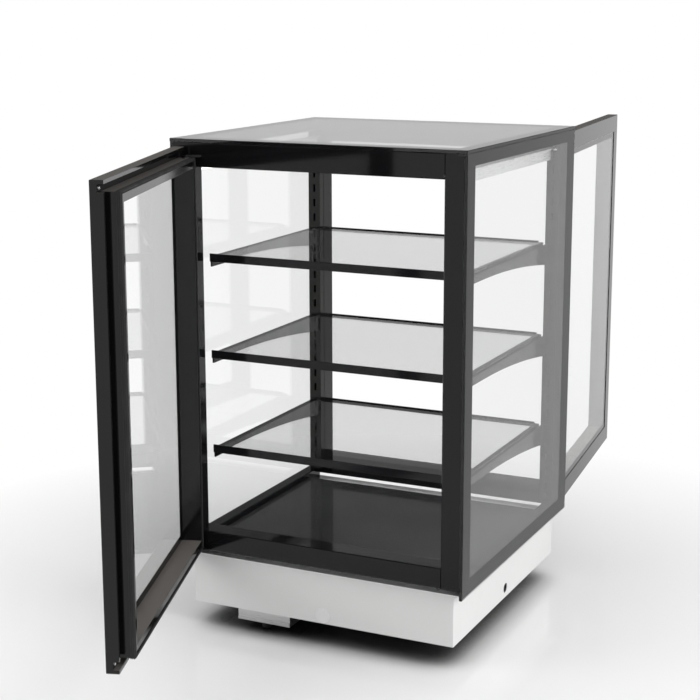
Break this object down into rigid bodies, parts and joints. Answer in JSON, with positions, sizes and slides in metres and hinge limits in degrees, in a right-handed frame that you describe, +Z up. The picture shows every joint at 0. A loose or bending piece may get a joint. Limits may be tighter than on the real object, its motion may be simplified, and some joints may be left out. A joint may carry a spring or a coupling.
{
  "type": "drop-in heated display case",
  "caption": "Glass-sided heated display case with hinged front and rear doors, glass shelves on slotted uprights and a shallow base that drops into a counter.",
  "frame": {"origin": "centre of the footprint, on the underside of the deck plate where the case sits on its counter", "axes": "+X to the right seen from the front, +Y from the front door to the rear door, +Z up"},
  "size_m": [0.6, 1.7055, 0.9665],
  "materials": {
    "housing_paint": "satin",
    "plug_plastic": "satin",
    "deck_steel": "satin",
    "box_steel": "satin",
    "black_plastic": "satin",
    "hot_deck_black": "gloss",
    "mat_silicone": "matt",
    "frame_black": "satin",
    "door_black": "satin",
    "upright_black": "satin",
    "shelf_black": "satin",
    "clear_glass": "clear",
    "light_aluminium": "satin",
    "diffuser_white": "satin",
    "gasket_rubber": "matt",
    "bush_nylon": "satin",
    "bracket_steel": "satin"
  },
  "bodies": {
    "cabinet": {"base_bottom_panel": "housing_paint", "base_deck": "deck_steel", "base_end_panels": "housing_paint", "base_side_panels": "housing_paint", "cable_gland": "black_plastic", "control_box": "box_steel", "control_box_cover": "box_steel", "front_bottom_rail": "frame_black", "front_pivot_brackets": "bracket_steel", "front_post_left": "frame_black", "front_post_right": "frame_black", "front_top_rail": "frame_black", "gland_nut": "black_plastic", "heated_deck": "hot_deck_black", "heated_deck_frame": "deck_steel", "heating_mat": "mat_silicone", "knockout_plug": "plug_plastic", "light_bar_left": "light_aluminium", "light_bar_right": "light_aluminium", "light_diffusers": "diffuser_white", "rear_bottom_rail": "frame_black", "rear_pivot_brackets": "bracket_steel", "rear_post_left": "frame_black", "rear_post_right": "frame_black", "rear_top_rail": "frame_black", "shelf_1_arms": "shelf_black", "shelf_1_front_bar": "shelf_black", "shelf_1_glass": "clear_glass", "shelf_1_rear_rail": "shelf_black", "shelf_2_arms": "shelf_black", "shelf_2_front_bar": "shelf_black", "shelf_2_glass": "clear_glass", "shelf_2_rear_rail": "shelf_black", "shelf_3_arms": "shelf_black", "shelf_3_front_bar": "shelf_black", "shelf_3_glass": "clear_glass", "shelf_3_rear_rail": "shelf_black", "side_bottom_rails": "frame_black", "side_glass_left": "clear_glass", "side_glass_right": "clear_glass", "side_top_rails": "frame_black", "top_glass": "clear_glass", "upright_left": "upright_black", "upright_right": "upright_black"},
    "front_door": {"front_door_bottom_rail": "door_black", "front_door_bushes": "bush_nylon", "front_door_gasket": "gasket_rubber", "front_door_glass": "clear_glass", "front_door_hinge_stile": "door_black", "front_door_latch_stile": "door_black", "front_door_top_rail": "door_black"},
    "rear_door": {"rear_door_bottom_rail": "door_black", "rear_door_bushes": "bush_nylon", "rear_door_gasket": "gasket_rubber", "rear_door_glass": "clear_glass", "rear_door_hinge_stile": "door_black", "rear_door_latch_stile": "door_black", "rear_door_top_rail": "door_black"}
  },
  "joints": [
    {"name": "front_door_hinge", "type": "hinge", "parent": "cabinet", "child": "front_door", "pos_m": [-0.254, -0.319, 0.4], "axis": [0, 0, -1], "range_deg": [-71.03, 18.5]},
    {"name": "rear_door_hinge", "type": "hinge", "parent": "cabinet", "child": "rear_door", "pos_m": [0.254, 0.319, 0.4], "axis": [0, 0, -1], "range_deg": [-84.15, 5.5]}
  ]
}
